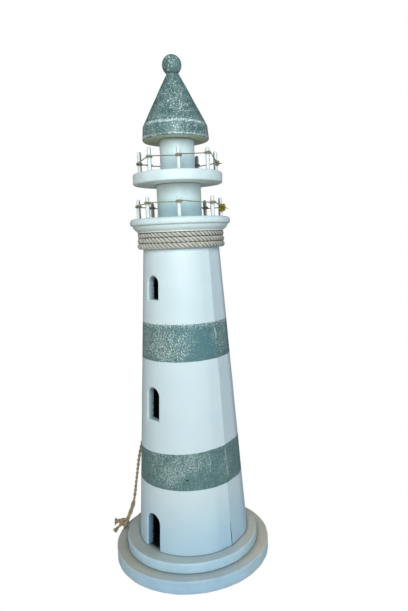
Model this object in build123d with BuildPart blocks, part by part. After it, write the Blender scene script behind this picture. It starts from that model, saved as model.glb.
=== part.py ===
from build123d import *
from math import cos, pi, radians, sin, tan
import os

os.makedirs("parts", exist_ok=True)

# Painted wooden model lighthouse, about 500 mm tall, in millimetres.
# +Z is up, the door and windows face -Y, and the tower's two seams lie at +X and -X.
# The origin is the middle of the base's underside.

# ---------------------------------------------------------------- driving sizes
# Base: two stacked discs
plinth_diameter = 156.0
plinth_height = 12.4
step_diameter = 133.6
step_height = 9.7
base_arris = 1.2                # top edge of each disc; the undersides are cut square

# Tower: two half shells with a straight taper
tower_foot_diameter = 110.6
tower_top_diameter = 73.6
tower_height = 305.3
tower_wall = 8.0
seam_gap = 0.3

# Round-headed openings, cut straight through the front half; sills are above the base
door_width = 17.8
door_height = 34.0
low_window_width = 16.2
low_window_height = 31.7
low_window_sill = 125.5
high_window_width = 14.5
high_window_height = 23.0
high_window_sill = 241.3

# Rope laid round the neck
rope_diameter = 5.5
rope_turns = 3
rope_turn_gap = 0.1
rope_lay_gap = 0.15             # rope to the wood behind it
rope_head_gap = 0.3             # top turn to the moulding above it

# Lower gallery: one turned moulding, each reach measured outwards from the member below it
gallery_height = 13.6
gallery_neck_reach = 5.9        # past the top of the tower
gallery_neck_height = 1.3
gallery_ovolo_reach = 4.5
gallery_ovolo_radius = 7.5
gallery_rim_reach = 2.4
gallery_rim_height = 6.6
gallery_top_round = 3.2
gallery_bottom_round = 1.8

# Upper gallery: a plain disc
deck_diameter = 88.0
deck_height = 10.3
deck_arris = 1.4

# Lanterns: two plain drums
lower_lantern_diameter = 43.8
lower_lantern_height = 33.1
upper_lantern_diameter = 34.2
upper_lantern_height = 32.5

# Railing pegs, glued into blind sockets that were marked out by eye. Their bearings are in
# degrees from +X towards +Y, and each share is where the twine lies on that peg, from its foot up.
peg_diameter = 4.0
peg_top_round = 1.8
peg_socket_depth = 5.0
peg_socket_gap = 0.2            # round each peg
lower_peg_height = 20.2
lower_peg_edge_distance = 9.1   # middle of a peg to the edge of its gallery
lower_peg_bearings = [48, 96, 139, 182, 227, 270, 317, 368]
lower_twine_shares = [0.56, 0.55, 0.60, 0.63, 0.63, 0.69, 0.69, 0.64]
upper_peg_height = 22.2
upper_peg_edge_distance = 6.6
upper_peg_bearings = [48, 105, 145, 188, 227, 273, 319, 367]
upper_twine_shares = [0.45, 0.54, 0.56, 0.57, 0.48, 0.61, 0.57, 0.73]

# Twine strung round the outside of the pegs, tied off at the first one listed
twine_diameter = 1.4
twine_lay_gap = 0.15            # twine to the peg that it bears on
tie_knot_diameter = 4.6
tie_end_length = 6.8            # from the middle of the knot
tie_end_droop = 15              # degrees below level

# Roof and finial
roof_diameter = 65.6
roof_rim_round = 1.6
roof_rim_width = 4.0            # flat ring round the hollowed underside
roof_hollow_depth = 0.9
roof_shoulder_diameter = 63.2
roof_shoulder_height = 14.0
roof_shoulder_round = 5.0
roof_tip_diameter = 12.6
roof_height = 64.0
finial_diameter = 18.9
finial_length = 20.0            # of the whole egg shape, before its seat is cut
finial_height = 18.8            # from the seat to the top

# Doubled twine that hangs down the back and ends in a knot on the edge of the base.
# Each point of its route is a share of the height from the tower's foot to where it starts,
# a bearing in degrees, and how far its middle is from the tower's wood.
tail_diameter = 2.5
tail_start_gap = 0.8            # below the lowest turn of the rope
tail_bend_share = 0.45          # share of the shorter run that each bend takes
tail_route = [
    (1.0, 153.4, 2.5),
    (0.834, 158.3, 3.0),
    (0.66, 168.3, 3.5),
    (0.493, 180.2, 4.0),
    (0.355, 194.6, 4.8),
    (0.269, 206.2, 7.0),
    (0.171, 208.9, 9.3),
    (0.074, 209.6, 11.7),
    (0.024, 209.7, 16.2),
    (-0.008, 209.8, 20.0),
]
tail_knot_diameter = 7.0
tail_knot_bearing = 209.8
tail_knot_inset = 0.4           # its middle to the edge of the base
tail_knot_lay_gap = 0.3
tail_end_reaches = [(-7.3, -6.0, 2.2), (-6.4, -9.0, -6.0)]      # middle of the knot to each tip

# ---------------------------------------------------------------- heights, worked out
step_z = plinth_height
tower_z = step_z + step_height
gallery_z = tower_z + tower_height
lower_lantern_z = gallery_z + gallery_height
deck_z = lower_lantern_z + lower_lantern_height
upper_lantern_z = deck_z + deck_height
roof_z = upper_lantern_z + upper_lantern_height - roof_hollow_depth
finial_z = roof_z + roof_height

seated = (Align.CENTER, Align.CENTER, Align.MIN)


def finish(builder, name):
    """Name a finished piece and write it to its own file."""
    builder.part.label = name
    export_step(builder.part, f"parts/{name}.step")


# ---------------------------------------------------------------- base
with BuildPart() as base_plinth:
    Cylinder(plinth_diameter / 2, plinth_height, align=seated)
    fillet(base_plinth.edges().filter_by(GeomType.CIRCLE).sort_by(Axis.Z)[-1], base_arris)
finish(base_plinth, "base_plinth")

with BuildPart(Plane.XY.offset(step_z)) as base_step:
    Cylinder(step_diameter / 2, step_height, align=seated)
    fillet(base_step.edges().filter_by(GeomType.CIRCLE).sort_by(Axis.Z)[-1], base_arris)
finish(base_step, "base_step")

# ---------------------------------------------------------------- tower
foot_radius = tower_foot_diameter / 2
top_radius = tower_top_diameter / 2
with BuildSketch(Plane.XZ) as wall_section:
    with BuildLine():
        Polyline(
            (foot_radius - tower_wall, tower_z),
            (foot_radius, tower_z),
            (top_radius, gallery_z),
            (top_radius - tower_wall, gallery_z),
            close=True,
        )
    make_face()

arches = [
    (door_width, door_height, tower_z),
    (low_window_width, low_window_height, tower_z + low_window_sill),
    (high_window_width, high_window_height, tower_z + high_window_sill),
]
with BuildPart() as tower_front_half:
    revolve(wall_section.sketch, axis=Axis.Z)
    split(bisect_by=Plane.XZ.offset(seam_gap / 2), keep=Keep.TOP)
    with BuildSketch(Plane.XZ):
        for width, height, sill_z in arches:
            springing = height - width / 2
            with Locations((0, sill_z)):
                Rectangle(width, springing, align=(Align.CENTER, Align.MIN))
            with Locations((0, sill_z + springing)):
                Circle(width / 2)
    extrude(amount=tower_foot_diameter, mode=Mode.SUBTRACT)
finish(tower_front_half, "tower_front_half")

with BuildPart() as tower_back_half:
    revolve(wall_section.sketch, axis=Axis.Z)
    split(bisect_by=Plane.XZ.offset(-seam_gap / 2), keep=Keep.BOTTOM)
finish(tower_back_half, "tower_back_half")

# ---------------------------------------------------------------- neck rope
taper = (foot_radius - top_radius) / tower_height
rope_bottom_z = gallery_z - rope_head_gap - rope_turns * (rope_diameter + rope_turn_gap) + rope_turn_gap
for turn in range(rope_turns):
    drop = rope_head_gap + turn * (rope_diameter + rope_turn_gap) + rope_diameter / 2
    wood_radius = top_radius + taper * (drop + rope_diameter / 2)
    with BuildPart() as neck_rope:
        with BuildSketch(Plane.XZ):
            with Locations((wood_radius + rope_lay_gap + rope_diameter / 2, gallery_z - drop)):
                Circle(rope_diameter / 2)
        revolve(axis=Axis.Z)
    finish(neck_rope, f"neck_rope_turn_{turn + 1}")

# ---------------------------------------------------------------- lower gallery
rim_z = lower_lantern_z - gallery_rim_height
ovolo_z = gallery_z + gallery_neck_height
neck_radius = top_radius + gallery_neck_reach
ovolo_radius = neck_radius + gallery_ovolo_reach
rim_radius = ovolo_radius + gallery_rim_reach
lower_peg_circle = rim_radius - lower_peg_edge_distance
with BuildPart() as lower_gallery:
    with BuildSketch(Plane.XZ):
        with BuildLine():
            Polyline((0, lower_lantern_z), (0, gallery_z), (neck_radius, gallery_z), (neck_radius, ovolo_z))
            RadiusArc((neck_radius, ovolo_z), (ovolo_radius, rim_z), gallery_ovolo_radius)
            Polyline(
                (ovolo_radius, rim_z),
                (rim_radius, rim_z),
                (rim_radius, lower_lantern_z),
                (0, lower_lantern_z),
            )
        make_face()
    revolve(axis=Axis.Z)
    for rim_end, rim_round in ((-1, gallery_top_round), (0, gallery_bottom_round)):
        rim_edges = lower_gallery.edges().filter_by(GeomType.CIRCLE).group_by(lambda edge: edge.radius)[-1]
        fillet(rim_edges.sort_by(Axis.Z)[rim_end], rim_round)
    with BuildSketch(Plane.XY.offset(lower_lantern_z)):
        for bearing in lower_peg_bearings:
            with PolarLocations(lower_peg_circle, 1, bearing):
                Circle(peg_diameter / 2 + peg_socket_gap)
    extrude(amount=-peg_socket_depth, mode=Mode.SUBTRACT)
finish(lower_gallery, "lower_gallery")

# ---------------------------------------------------------------- upper gallery
upper_peg_circle = deck_diameter / 2 - upper_peg_edge_distance
with BuildPart(Plane.XY.offset(deck_z)) as upper_gallery:
    Cylinder(deck_diameter / 2, deck_height, align=seated)
    fillet(upper_gallery.edges().filter_by(GeomType.CIRCLE), deck_arris)
    with BuildSketch(Plane.XY.offset(upper_lantern_z)):
        for bearing in upper_peg_bearings:
            with PolarLocations(upper_peg_circle, 1, bearing):
                Circle(peg_diameter / 2 + peg_socket_gap)
    extrude(amount=-peg_socket_depth, mode=Mode.SUBTRACT)
finish(upper_gallery, "upper_gallery")

# ---------------------------------------------------------------- lanterns
with BuildPart(Plane.XY.offset(lower_lantern_z)) as lower_lantern:
    Cylinder(lower_lantern_diameter / 2, lower_lantern_height, align=seated)
finish(lower_lantern, "lower_lantern")

with BuildPart(Plane.XY.offset(upper_lantern_z)) as upper_lantern:
    Cylinder(upper_lantern_diameter / 2, upper_lantern_height, align=seated)
finish(upper_lantern, "upper_lantern")


# ---------------------------------------------------------------- railings
def at_bearing(radius, bearing, z):
    """A point that far from the axis, on that bearing."""
    return Vector(radius * cos(radians(bearing)), radius * sin(radians(bearing)), z)


def build_pegs(storey, bearings, circle, floor_z, height):
    """Round-topped pegs that stand in the blind sockets of one gallery."""
    for number, bearing in enumerate(bearings, 1):
        with BuildPart(Plane(at_bearing(circle, bearing, floor_z - peg_socket_depth))) as peg:
            Cylinder(peg_diameter / 2, peg_socket_depth + height, align=seated)
            fillet(peg.edges().filter_by(GeomType.CIRCLE).sort_by(Axis.Z)[-1], peg_top_round)
        finish(peg, f"{storey}_peg_{number}")


def build_twine(storey, bearings, shares, circle, floor_z, height):
    """Twine tied at the first peg, round the outside of the others, and back into its own knot."""
    bend = peg_diameter / 2 + twine_lay_gap + twine_diameter / 2
    pegs = [at_bearing(circle, bearing, 0) for bearing in bearings]
    lifts = [Vector(0, 0, floor_z + share * height) for share in shares]
    outwards = pegs[0].normalized()
    knot_centre = pegs[0] + lifts[0] + outwards * (bend + (tie_knot_diameter - twine_diameter) / 2)
    beside = Vector(0, 0, 1).cross(outwards) * twine_diameter / 2
    route = [knot_centre + beside]
    for before, here, after, lift in zip(pegs, pegs[1:], pegs[2:] + pegs[:1], lifts[1:]):
        arriving = (here - before).normalized()
        leaving = (after - here).normalized()
        half_turn = radians(arriving.get_angle(leaving) / 2)
        route.append(here + lift + (arriving - leaving).normalized() * bend / cos(half_turn))
    route.append(knot_centre - beside)
    droop = radians(tie_end_droop)
    loose_end = outwards * cos(droop) - Vector(0, 0, sin(droop))
    with BuildPart() as twine:
        with BuildLine() as loop:
            FilletPolyline(*route, radius=bend)
        with BuildSketch(Plane(loop.line @ 0, z_dir=loop.line % 0)):
            Circle(twine_diameter / 2)
        sweep(path=loop.line)
        with BuildSketch(Plane(knot_centre, z_dir=loose_end)):
            Circle(twine_diameter / 2)
        extrude(amount=tie_end_length)
        with Locations(knot_centre):
            Sphere(tie_knot_diameter / 2)
    finish(twine, f"{storey}_twine")


lower_rail = (lower_peg_circle, lower_lantern_z, lower_peg_height)
upper_rail = (upper_peg_circle, upper_lantern_z, upper_peg_height)
build_pegs("lower", lower_peg_bearings, *lower_rail)
build_twine("lower", lower_peg_bearings, lower_twine_shares, *lower_rail)
build_pegs("upper", upper_peg_bearings, *upper_rail)
build_twine("upper", upper_peg_bearings, upper_twine_shares, *upper_rail)

# ---------------------------------------------------------------- roof
with BuildPart() as roof:
    with BuildSketch(Plane.XZ):
        with BuildLine():
            Polyline(
                (0, roof_z + roof_hollow_depth),
                (upper_lantern_diameter / 2, roof_z + roof_hollow_depth),
                (roof_diameter / 2 - roof_rim_width, roof_z),
                (roof_diameter / 2, roof_z),
                (roof_shoulder_diameter / 2, roof_z + roof_shoulder_height),
                (roof_tip_diameter / 2, finial_z),
                (0, finial_z),
                close=True,
            )
        make_face()
    revolve(axis=Axis.Z)
    outer_edges = roof.edges().filter_by(GeomType.CIRCLE).sort_by(lambda edge: edge.radius)
    fillet(outer_edges[-1], roof_rim_round)
    fillet(outer_edges[-2], roof_shoulder_round)
finish(roof, "roof")

# ---------------------------------------------------------------- finial
finial_centre_z = finial_z + finial_height - finial_length / 2
with BuildPart() as finial:
    with BuildSketch(Plane.XZ):
        with Locations((0, finial_centre_z)):
            Ellipse(finial_diameter / 2, finial_length / 2)
        with Locations((0, finial_z)):
            Rectangle(finial_diameter, finial_length, align=(Align.MIN, Align.MIN), mode=Mode.INTERSECT)
    revolve(axis=Axis.Z)
finish(finial, "finial")

# ---------------------------------------------------------------- hanging twine
start_height = rope_bottom_z - tail_start_gap - tower_z
route = []
for share, bearing, off_wood in tail_route:
    height = share * start_height
    route.append(at_bearing(foot_radius - taper * height + off_wood, bearing, tower_z + height))
runs = [end - start for start, end in zip(route, route[1:])]
bends = []
for before, after in zip(runs, runs[1:]):
    half_turn = radians(before.get_angle(after) / 2)
    bends.append(tail_bend_share * min(before.length, after.length) / tan(half_turn))
print("tail bend radii:", [round(bend, 1) for bend in bends])

with BuildPart() as hanging_twine:
    with BuildLine() as tail_path:
        FilletPolyline(*route, radius=bends)
    with BuildSketch(Plane(tail_path.line @ 0, z_dir=tail_path.line % 0)):
        Circle(tail_diameter / 2)
    sweep(path=tail_path.line)
tail_length = tail_path.wire().length
print("tail points:", [tuple(round(value, 1) for value in point) for point in route])
tail_section = pi * tail_diameter**2 / 4
print("tail length:", round(tail_length, 1))
print("tail volume over section x length:", round(hanging_twine.part.volume / tail_section / tail_length, 5))
finish(hanging_twine, "hanging_twine")

# ---------------------------------------------------------------- its knot and two loose ends
knot_z = plinth_height + tail_knot_lay_gap + tail_knot_diameter / 2
knot_centre = at_bearing(plinth_diameter / 2 - tail_knot_inset, tail_knot_bearing, knot_z)
print("tail knot:", [round(value, 1) for value in knot_centre])
with BuildPart() as hanging_knot:
    with Locations(knot_centre):
        Sphere(tail_knot_diameter / 2)
    for reach in tail_end_reaches:
        with BuildSketch(Plane(knot_centre, z_dir=reach)):
            Circle(tail_diameter / 2)
        extrude(amount=Vector(reach).length)
finish(hanging_knot, "hanging_twine_knot")
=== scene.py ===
from functools import partial
from math import asin, atan2, ceil, cos, pi, radians, sin, sqrt, tau

import bpy
import numpy as np
from mathutils import Matrix, Vector, noise


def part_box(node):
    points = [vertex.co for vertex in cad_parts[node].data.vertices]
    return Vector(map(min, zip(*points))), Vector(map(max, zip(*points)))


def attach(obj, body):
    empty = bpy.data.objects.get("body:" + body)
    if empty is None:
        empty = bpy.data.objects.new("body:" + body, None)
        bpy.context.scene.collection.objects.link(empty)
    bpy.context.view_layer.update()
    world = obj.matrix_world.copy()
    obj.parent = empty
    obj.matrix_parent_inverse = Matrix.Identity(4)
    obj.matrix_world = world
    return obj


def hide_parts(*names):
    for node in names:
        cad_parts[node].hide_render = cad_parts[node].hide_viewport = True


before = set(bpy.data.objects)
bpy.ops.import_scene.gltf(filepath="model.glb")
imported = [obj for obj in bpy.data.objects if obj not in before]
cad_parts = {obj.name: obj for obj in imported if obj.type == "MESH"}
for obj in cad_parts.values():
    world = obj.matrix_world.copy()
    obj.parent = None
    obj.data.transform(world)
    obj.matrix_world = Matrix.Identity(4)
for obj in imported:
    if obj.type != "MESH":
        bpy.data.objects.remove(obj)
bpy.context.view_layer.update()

mm = 0.001
print("frame loaded")


cameraSettings = {
    "place": (0.3908, -0.3581, 0.319),
    "turn": 43.9,       # degrees about Z
    "tilt": 85.09,
    "roll": -2.28,
    "lens": 31.09,      # mm on a 36 mm film side
    "shift": (-0.01997, -0.0345),
}


def addObject(name, data):
    item = bpy.data.objects.new(name, data)
    bpy.context.scene.collection.objects.link(item)
    return item


def makeCamera(use):
    camera = addObject("camera", bpy.data.cameras.new("camera"))
    camera.data.lens = use["lens"]
    camera.data.shift_x, camera.data.shift_y = use["shift"]
    camera.data.clip_start = 0.01
    turn, tilt, roll = (Matrix.Rotation(radians(use[key]), 4, axis)
                        for key, axis in (("turn", "Z"), ("tilt", "X"), ("roll", "Z")))
    camera.matrix_world = Matrix.Translation(use["place"]) @ turn @ tilt @ roll
    bpy.context.scene.camera = camera


makeCamera(cameraSettings)


def hexColour(code):
    # sRGB hex to the linear values that shaders take
    parts = [int(code[at:at + 2], 16) / 255 for at in (1, 3, 5)]
    return tuple(part / 12.92 if part <= 0.04045 else ((part + 0.055) / 1.055) ** 2.4 for part in parts) + (1,)


def addNode(tree, kind, inputs=(), output=0, **settings):
    # inputs are sockets to link from, hex colours or plain values, by name or in the order that the node shows
    node = tree.nodes.new("ShaderNode" + kind)
    for name, value in settings.items():
        setattr(node, name, value)
    if isinstance(inputs, dict):
        pairs = [(node.inputs[name], value) for name, value in inputs.items()]
    else:
        pairs = zip([socket for socket in node.inputs if socket.enabled], inputs)
    for socket, value in pairs:
        if isinstance(value, bpy.types.NodeSocket):
            tree.links.new(value, socket)
        else:
            socket.default_value = hexColour(value) if isinstance(value, str) else value
    if isinstance(output, str):
        return node.outputs[output]
    return [socket for socket in node.outputs if socket.enabled][output]


def newMaterial(name, roughness):
    # add puts a node in this material's tree, and place is the point in metres from the base's middle
    material = bpy.data.materials.new(name)
    material.use_nodes = True
    shader = material.node_tree.nodes["Principled BSDF"]
    shader.inputs["Roughness"].default_value = roughness
    shader.inputs["IOR"].default_value = 1.5        # acrylic paint and plant fibre alike
    add = partial(addNode, material.node_tree)
    return material, add, shader, add("TexCoord", output="Object")


def finishMaterial(material, shader, add, colour, height, strength, depth):
    # the relief's depth is in metres
    links = material.node_tree.links
    links.new(colour, shader.inputs["Base Color"])
    bump = add("Bump", {"Height": height, "Strength": strength, "Distance": depth})
    links.new(bump, shader.inputs["Normal"])
    return material


def layered(add, colour, *coats):
    # each coat is (how far it covers what is under it, its colour), and they go on in turn
    for share, coat in coats:
        colour = add("Mix", (share, colour, coat), data_type="RGBA")
    return colour


def softNoise(add, place, scale, detail, turn=(0, 0, 0)):
    # noise with that many cells a metre, and stretched where scale has three values
    if isinstance(scale, tuple):
        place, scale = add("Mapping", {"Vector": place, "Rotation": turn, "Scale": scale}), 1.0
    return add("TexNoise", {"Vector": place, "Scale": scale, "Detail": detail})


def paintedCreaseShade(add, reach, low, high, darkest, samples=8):
    # painted shade: darker in corners and creases that lie closer than reach
    crease = add("AmbientOcclusion", {"Distance": reach}, "AO", samples=samples)
    return add("MapRange", (crease, low, high, darkest, 1.0))


def spotShare(add, place, spot, reach, amount, core=0.35):
    # amount in the middle of a soft spot, and nothing past its reach
    away = add("VectorMath", (place, spot), operation="DISTANCE")
    return add("MapRange", (away, reach * core, reach, amount, 0.0), interpolation_type="SMOOTHSTEP")


def lineShare(add, value, middle, half, core, amount):
    # amount along the line where value is near middle
    off = add("Math", (value, middle), operation="SUBTRACT")
    off = add("Math", (off,), operation="ABSOLUTE")
    return add("MapRange", (off, half * core, half, amount, 0.0))


def fleckExcess(add, fine, longer, weight, markShare, fall, start):
    # how far fine noise swayed by longer marks stands over a limit that falls where the flecks gather
    marks = add("Math", (longer, weight, -weight / 2), operation="MULTIPLY_ADD")
    marks = add("Math", (fine, marks), operation="ADD")
    limit = add("Math", (markShare, -fall, start), operation="MULTIPLY_ADD")
    return marks, add("Math", (marks, limit), operation="SUBTRACT")


def axisDistance(add, axes):
    flat = add("CombineXYZ", (axes[0], axes[1]))
    return add("VectorMath", (flat,), operation="LENGTH")


def multiply(add, *factors):
    product = factors[0]
    for factor in factors[1:]:
        product = add("Math", (product, factor), operation="MULTIPLY")
    return product


def uneven(point, size, amount, seed):
    return noise.noise(Vector(point) / size + Vector((seed * 7.3, seed * 3.1, seed * 5.7))) * amount


def boxOf(node):
    # low and high corners of a CAD node, in mm
    return [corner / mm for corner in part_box(node)]


def makePiece(name, parts, materials, nodes):
    # parts is a list of (points in mm, faces)
    points, faces = [], []
    for partPoints, partFaces in parts:
        start = len(points)
        points += [tuple(value * mm for value in point) for point in partPoints]
        faces += [tuple(start + corner for corner in face) for face in partFaces]
    mesh = bpy.data.meshes.new(name)
    mesh.from_pydata(points, [], faces)
    mesh.polygons.foreach_set("use_smooth", [True] * len(mesh.polygons))
    mesh.validate()
    mesh.update()
    mesh.set_sharp_from_angle(angle=radians(42))
    piece = addObject(name, mesh)
    for material in materials:
        mesh.materials.append(material)
    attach(piece, "root")
    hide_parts(*nodes)
    return piece


def arcPoints(middle, radius, start, end, parts):
    # points from start to end round a flat arc's middle, both ends left in
    first = atan2(*(start - middle)[::-1])
    sweep = (atan2(*(end - middle)[::-1]) - first + pi) % tau - pi
    count = parts or max(3, ceil(abs(sweep) / radians(14)))
    angles = [first + sweep * part / count for part in range(count + 1)]
    return [middle + radius * np.array((cos(angle), sin(angle))) for angle in angles]


def softProfile(corners, step=3.0):
    # corners are (radius, height, rounding); the result has short even runs and rounded corners
    line = []
    for at, (r, z, rounding) in enumerate(corners):
        here = np.array((r, z), float)
        if rounding <= 0 or at in (0, len(corners) - 1):
            line.append(here)
            continue
        before, after = (np.array(corners[at + way][:2], float) - here for way in (-1, 1))
        before, after = before / np.linalg.norm(before), after / np.linalg.norm(after)
        half = np.arccos(np.clip(np.dot(before, after), -1, 1)) / 2
        start, end = (here + way * rounding / np.tan(half) for way in (before, after))
        inward = start + end - 2 * here
        middle = here + inward / np.linalg.norm(inward) * rounding / np.sin(half)
        line += arcPoints(middle, rounding, start, end, None)
    result = [line[0]]
    for point in line[1:]:
        start = result[-1]
        pieces = max(1, ceil(np.linalg.norm(point - start) / step))
        result += [start + (point - start) * part / pieces for part in range(1, pieces + 1)]
    return result


def latheParts(profile, around, waver, waverSize, seed, centre=(0, 0), lean=(0, 0), footZ=0.0):
    # Turns a (radius, height) profile; waver is a slight hand-made unevenness of the radius, all in mm
    points, rows = [], []
    for r, z in profile:
        middle = [start + tilt * (z - footZ) for start, tilt in zip(centre, lean)]
        if r < 1e-6:
            rows.append([len(points)] * around)
            points.append((*middle, z))
            continue
        rows.append(range(len(points), len(points) + around))
        for part in range(around):
            angle = tau * part / around
            x, y = r * cos(angle), r * sin(angle)
            scale = 1 + uneven((x, y, z), waverSize, waver, seed) / r
            points.append((middle[0] + x * scale, middle[1] + y * scale, z))
    faces = []
    for low, high in zip(rows, rows[1:]):
        for part in range(around):
            after = (part + 1) % around
            # the dictionary drops the corners that meet on the axis
            face = tuple(dict.fromkeys((low[part], low[after], high[after], high[part])))
            if len(face) > 2:
                faces.append(face)
    return points, faces


def turningFrames(path, closed):
    # Tangents and a pair of side directions that don't spin along the path
    path = np.asarray(path, float)
    if closed:
        tangents = np.roll(path, -1, 0) - np.roll(path, 1, 0)
    else:
        tangents = np.gradient(path, axis=0)
    tangents /= np.linalg.norm(tangents, axis=1)[:, None]
    up = np.array((0, 0, 1.0)) if abs(tangents[0][2]) < 0.8 else np.array((1.0, 0, 0))
    side = np.cross(up, tangents[0])
    sides = []
    for tangent in tangents:
        side = side - tangent * np.dot(side, tangent)
        side /= np.linalg.norm(side)
        sides.append(side)
    sides = np.array(sides)
    return path, tangents, sides, np.cross(tangents, sides)


def tubeParts(path, radius, sides=8, closed=False):
    # A round tube with capped ends, or a loop
    path, tangents, across, over = turningFrames(path, closed)
    count = len(path)
    radii = np.broadcast_to(np.asarray(radius, float), (count,))
    twist = 0.0
    if closed:
        # spreads the small turn that is left over, so the ends of the loop meet
        last = across[-1] - tangents[0] * np.dot(across[-1], tangents[0])
        twist = atan2(np.dot(last, over[0]), np.dot(last, across[0]))
    points = []
    for at in range(count):
        for part in range(sides):
            angle = tau * part / sides - twist * at / count
            points.append(tuple(path[at] + radii[at] * (cos(angle) * across[at] + sin(angle) * over[at])))
    faces = []
    for at in range(count if closed else count - 1):
        here, after = at * sides, (at + 1) % count * sides
        for part in range(sides):
            beside = (part + 1) % sides
            faces.append((here + part, here + beside, after + beside, after + part))
    if not closed:
        faces.append(tuple(range(sides))[::-1])
        faces.append(tuple(range((count - 1) * sides, count * sides)))
    return points, faces


def runLengths(path):
    return np.concatenate(([0], np.cumsum(np.linalg.norm(np.diff(path, axis=0), axis=1))))


def evenPath(points, step, closed=False):
    # The same line, with points an even step apart
    points = np.asarray(points, float)
    if closed:
        points = np.vstack((points, points[:1]))
    lengths = runLengths(points)
    count = max(2, int(round(lengths[-1] / step)))
    wanted = np.linspace(0, lengths[-1], count + 1)
    result = np.stack([np.interp(wanted, lengths, points[:, axis]) for axis in range(3)], 1)
    return result[:-1] if closed else result


def smoothPath(points):
    # Two rounds of Chaikin corner cutting, for lashings and knots
    points = [np.asarray(point, float) for point in points]
    for _ in range(2):
        result = [points[0]]
        for start, end in zip(points, points[1:]):
            result += [start * 0.75 + end * 0.25, start * 0.25 + end * 0.75]
        points = result + [points[-1]]
    return points


def plyPaths(path, offset, lay, spread=1.0):
    # Helical lines of the two plies that are laid round a path
    path, tangents, across, over = turningFrames(path, False)
    turned = runLengths(path) / lay
    reach = (offset * spread * np.ones(len(path)))[:, None]
    result = []
    for ply in (0, 1):
        angle = tau * (turned + ply / 2)
        result.append(path + reach * (np.cos(angle)[:, None] * across + np.sin(angle)[:, None] * over))
    return result


print("tools ready")


paintSettings = {
    "white": "#eef7fa",
    # a greyer copy of the white for the back half: painted shade
    "backShadedWhite": "#e6f0f4",
    "thinner": (0.955, 0.97, 0.985),        # tint where the white is thin
    "towerFootShade": (0.75, 0.875, 0.985),       # painted shade, cooler and darker down by the base, with a bluish cast of light reflected from the base
    "seamShade": (0.89, 0.935, 0.97),        # and more painted shade just before the open seam
    # each band's foot and top in metres, how far its top frays, and how far that edge slants
    "bands": [(0.0840, 0.1191, 0.0008, 0.05), (0.2055, 0.2406, 0.0034, 0.0)],
    "slantWay": (-0.69, -0.72, 0),
    "sage": "#728f8e",
    "deepSage": "#5c7978",
    "fleck": "#dfe9e6",
    "rubsAndGlints": [               # place and reach of the rubbed patches, where the flecks are partly painted glints, and how bare they are
        ((-0.0100, -0.0420, 0.2220), 0.024, 0.66), ((0.0130, -0.0412, 0.2210), 0.026, 0.84),
        ((0.0250, -0.0350, 0.2200), 0.021, 0.74), ((0.0423, 0.0095, 0.2260), 0.021, 0.55),
        ((0.0200, -0.0470, 0.0985), 0.017, 1.00), ((0.0270, -0.0425, 0.1050), 0.019, 0.95),
        ((0.0370, -0.0335, 0.1110), 0.019, 0.90), ((0.0120, -0.0490, 0.1080), 0.026, 0.60),
        ((0.0430, -0.0240, 0.1080), 0.017, 0.55), ((0.0500, 0.0010, 0.1020), 0.016, 0.55),
    ],
    "wornLines": [          # bearing in degrees, height and slope, its ends, half width, strength, breaks
        (0.0, 0.2312, -150.0, 0.2240, 0.2350, 0.85, 1.00, 0.0),
        (-0.7, 0.2250, -150.0, 0.2080, 0.2400, 0.60, 0.35, 0.5),
        (0.6, 0.1030, -60.0, 0.0880, 0.1180, 1.60, 0.75, 1.0),
        (-22.0, 0.1150, -60.0, 0.1000, 0.1190, 0.70, 0.45, 0.7),
    ],
    "teal": "#5d888d",
    "tealSpots": [((0.0360, -0.0230, 0.2220), 0.026), ((0.0440, -0.0060, 0.2200), 0.014)],
    "pinHole": (0.0344, -0.0375, 0.0944),
}


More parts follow.
